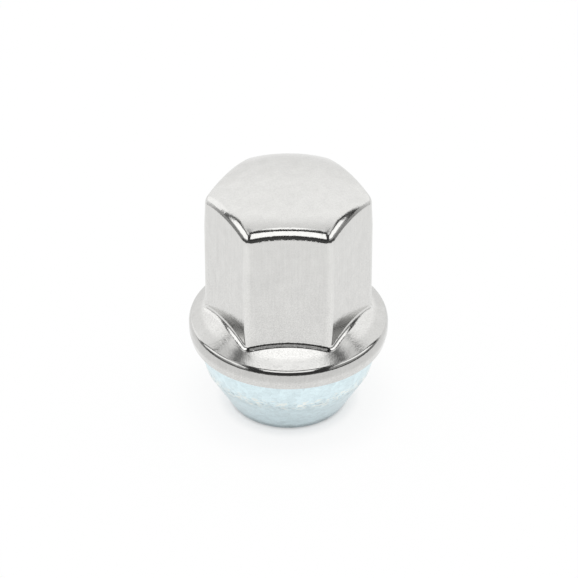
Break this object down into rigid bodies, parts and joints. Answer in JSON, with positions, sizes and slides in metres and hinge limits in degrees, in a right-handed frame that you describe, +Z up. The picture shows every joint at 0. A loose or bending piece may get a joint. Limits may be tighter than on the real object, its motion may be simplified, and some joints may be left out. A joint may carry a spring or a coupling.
{
  "type": "lug nut",
  "caption": "Closed-end lug nut: a threaded steel core with a conical seat, crimped inside a domed hexagonal stainless cap with a flange.",
  "frame": {"origin": "centre of the conical seat's small end, where the nut stands", "axes": "+Z up the thread axis, from the seat to the dome; two flats of the hexagon face -Y and +Y"},
  "size_m": [0.029, 0.029, 0.0374],
  "materials": {
    "stainless_cap": "polished stainless steel sheet",
    "zinc_core": "clear zinc plating, blue-white, satin"
  },
  "bodies": {
    "root": {"steel_cap": "stainless_cap", "nut_core": "zinc_core"}
  },
  "joints": []
}
